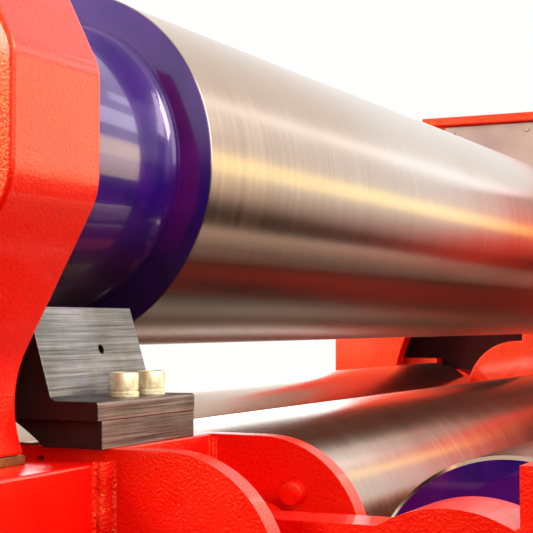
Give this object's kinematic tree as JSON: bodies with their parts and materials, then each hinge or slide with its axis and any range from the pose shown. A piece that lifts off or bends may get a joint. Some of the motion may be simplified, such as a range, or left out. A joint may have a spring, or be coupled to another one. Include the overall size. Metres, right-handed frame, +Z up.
{
  "type": "four-roll plate bending machine",
  "caption": "Plate bending machine with a top roll in a drop-end yoke, a pinch roll on lift blocks and side rolls on swing arms between two welded stands.",
  "frame": {"origin": "centre of the machine's box, on the floor", "axes": "+X along the rolls from the drop end to the drive end, +Y from the operator side to the rear, +Z up"},
  "size_m": [4.477, 1.98, 2.035],
  "materials": {
    "red_paint": "glossy, fine orange peel",
    "machined_steel": "machined",
    "dark_steel": "dark, machined",
    "roll_steel": "turned and ground; the ends of the top and side rolls carry blue paint",
    "grey_paint": "satin",
    "bronze": "cast bronze"
  },
  "bodies": {
    "stand": {"base_beam_front": "red_paint", "base_beam_rear": "red_paint", "base_cross_near": "red_paint", "base_cross_mid": "red_paint", "base_cross_far": "red_paint", "near_cheek_outer": "red_paint", "near_cheek_inner": "red_paint", "near_web_front": "red_paint", "near_web_rear": "red_paint", "hinge_cheek_front": "red_paint", "hinge_cheek_rear": "red_paint", "hinge_pin": "machined_steel", "yoke_pad_front": "bronze", "yoke_pad_rear": "bronze", "rest_shim_front": "dark_steel", "rest_shim_rear": "dark_steel", "roll_rest": "machined_steel", "arm_pin_near_front": "machined_steel", "arm_pin_near_rear": "machined_steel", "arm_pin_far_front": "machined_steel", "arm_pin_far_rear": "machined_steel", "far_cheek_inner": "red_paint", "far_cheek_outer": "red_paint", "far_side_front": "red_paint", "far_side_rear": "red_paint", "far_top_beam": "red_paint", "far_panel": "grey_paint", "far_bearing_ring": "red_paint", "roll_drive": "red_paint", "lift_barrel_near": "red_paint", "lift_barrel_far": "red_paint"},
    "yoke_body": {"yoke": "red_paint", "yoke_cover": "red_paint"},
    "top_roll_body": {"top_roll": "roll_steel"},
    "pinch_carriage": {"pinch_block_near": "machined_steel", "pinch_block_far": "machined_steel", "lift_rod_near": "machined_steel", "lift_rod_far": "machined_steel"},
    "pinch_roll_body": {"pinch_roll": "roll_steel"},
    "arms_front": {"arm_near_front": "red_paint", "arm_far_front": "red_paint"},
    "arms_rear": {"arm_near_rear": "red_paint", "arm_far_rear": "red_paint"},
    "side_roll_front_body": {"side_roll_front": "roll_steel"},
    "side_roll_rear_body": {"side_roll_rear": "roll_steel"}
  },
  "joints": [
    {"name": "yoke_hinge", "type": "hinge", "parent": "stand", "child": "yoke_body", "pos_m": [-2.1395, 0, 1.075], "axis": [0, -1, 0], "range_deg": [0, 80]},
    {"name": "top_roll_spin", "type": "hinge", "parent": "stand", "child": "top_roll_body", "pos_m": [-1.7215, 0, 1.5], "axis": [1, 0, 0], "continuous": true},
    {"name": "pinch_lift", "type": "slide", "parent": "stand", "child": "pinch_carriage", "axis": [0, 0, 1], "range_m": [0, 0.1]},
    {"name": "pinch_roll_spin", "type": "hinge", "parent": "pinch_carriage", "child": "pinch_roll_body", "pos_m": [-1.7215, 0, 0.97], "axis": [1, 0, 0], "continuous": true},
    {"name": "front_arm_swing", "type": "hinge", "parent": "stand", "child": "arms_front", "pos_m": [-1.7215, -0.308, 1.068], "axis": [-1, 0, 0], "range_deg": [0, 85]},
    {"name": "rear_arm_swing", "type": "hinge", "parent": "stand", "child": "arms_rear", "pos_m": [-1.7215, 0.308, 1.068], "axis": [1, 0, 0], "range_deg": [0, 85]},
    {"name": "front_side_roll_spin", "type": "hinge", "parent": "arms_front", "child": "side_roll_front_body", "pos_m": [-1.7215, -0.572, 1.012], "axis": [1, 0, 0], "continuous": true},
    {"name": "rear_side_roll_spin", "type": "hinge", "parent": "arms_rear", "child": "side_roll_rear_body", "pos_m": [-1.7215, 0.572, 1.012], "axis": [1, 0, 0], "continuous": true}
  ]
}
